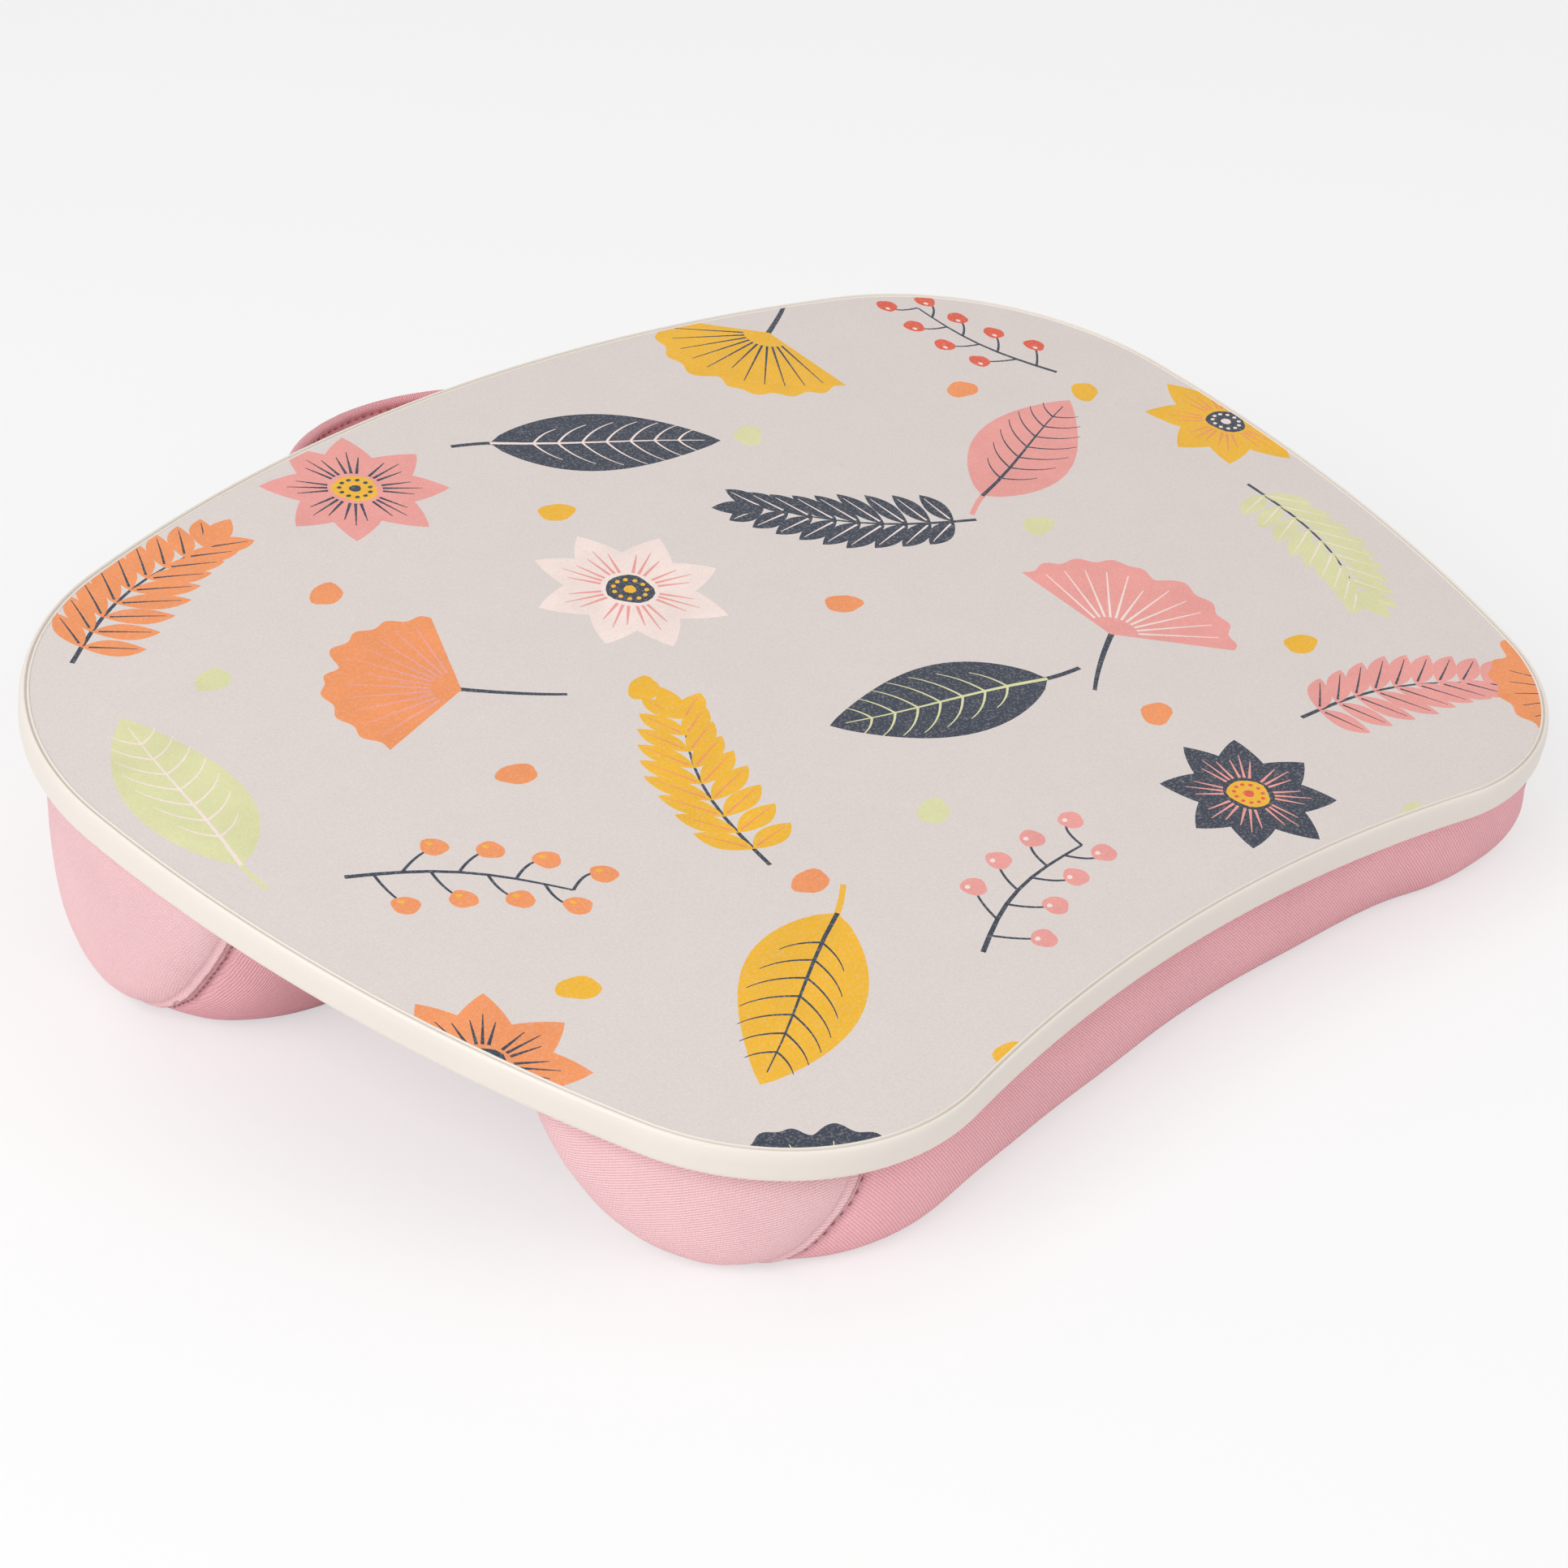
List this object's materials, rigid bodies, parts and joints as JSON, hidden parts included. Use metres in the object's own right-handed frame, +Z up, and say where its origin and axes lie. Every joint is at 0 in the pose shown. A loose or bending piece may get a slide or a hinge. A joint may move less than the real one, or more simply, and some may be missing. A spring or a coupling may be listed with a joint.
{
  "type": "lap tray with cushion",
  "caption": "Flat lap tray with a hollow user edge and rounded corners, on a tall rear bolster and a low front bolster, with a swinging strap handle behind.",
  "frame": {"origin": "centre of the bounding box at floor level", "axes": "+X to the user's right, +Y away from the user towards the handle, +Z up"},
  "size_m": [0.45, 0.3796, 0.1033],
  "materials": {
    "deck_print": "satin, fine grain",
    "trim_plastic": "satin",
    "fibreboard": "raw",
    "backing": "matte",
    "cloth": "plain weave",
    "beads": "matte"
  },
  "bodies": {
    "desk": {"deck_core": "fibreboard", "top_laminate": "deck_print", "bottom_laminate": "backing", "edge_trim": "trim_plastic", "base_panel": "cloth", "rear_wrap": "cloth", "rear_left_cap": "cloth", "rear_right_cap": "cloth", "rear_filling": "beads", "front_wrap": "cloth", "front_left_cap": "cloth", "front_right_cap": "cloth", "front_filling": "beads", "handle_left_tab": "cloth", "handle_right_tab": "cloth"},
    "handle": {"handle_strap": "cloth"}
  },
  "joints": [
    {"name": "handle_swing", "type": "hinge", "parent": "desk", "child": "handle", "pos_m": [0, 0.15176, 0.06956], "axis": [1, 0, 0], "range_deg": [-60, 60]}
  ]
}
